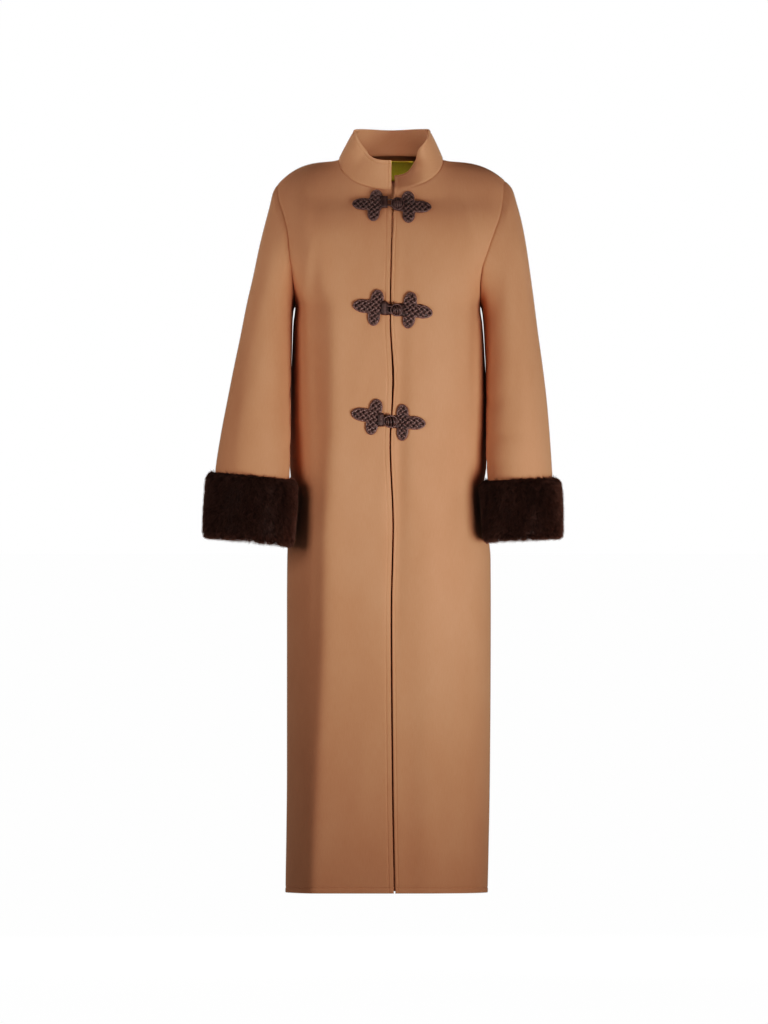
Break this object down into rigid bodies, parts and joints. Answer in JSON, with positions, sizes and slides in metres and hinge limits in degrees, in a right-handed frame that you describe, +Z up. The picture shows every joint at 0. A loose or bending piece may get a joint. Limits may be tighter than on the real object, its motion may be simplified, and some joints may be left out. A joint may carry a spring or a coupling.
{
  "type": "frog-fastening long coat",
  "caption": "Long straight wool coat with a stand collar, fur cuffs and corded frog fastenings, worn and hollow, open at neck, hem and cuffs.",
  "frame": {"origin": "on the wearer, midway between the two points where the shoulder seams meet the collar", "axes": "+Z up the body, -Y the way the front faces, +X to the wearer's left"},
  "size_m": [0.635, 0.2827, 1.3361],
  "materials": {
    "wool": "camel double-faced wool coating with a brushed nap and a soft sheen",
    "fur": "short dense dark-brown fur",
    "cord": "dark-brown braided cord with a low lustre",
    "label": "plain olive-yellow woven satin, bare"
  },
  "bodies": {
    "root": {"back": "wool", "front_right": "wool", "front_left": "wool", "sleeve_right": "wool", "sleeve_left": "wool", "collar": "wool", "cuff_right": "fur", "cuff_left": "fur", "label": "label", "frog_top_loop": "cord", "frog_top_knot": "cord", "frog_middle_loop": "cord", "frog_middle_knot": "cord", "frog_bottom_loop": "cord", "frog_bottom_knot": "cord"}
  },
  "joints": []
}
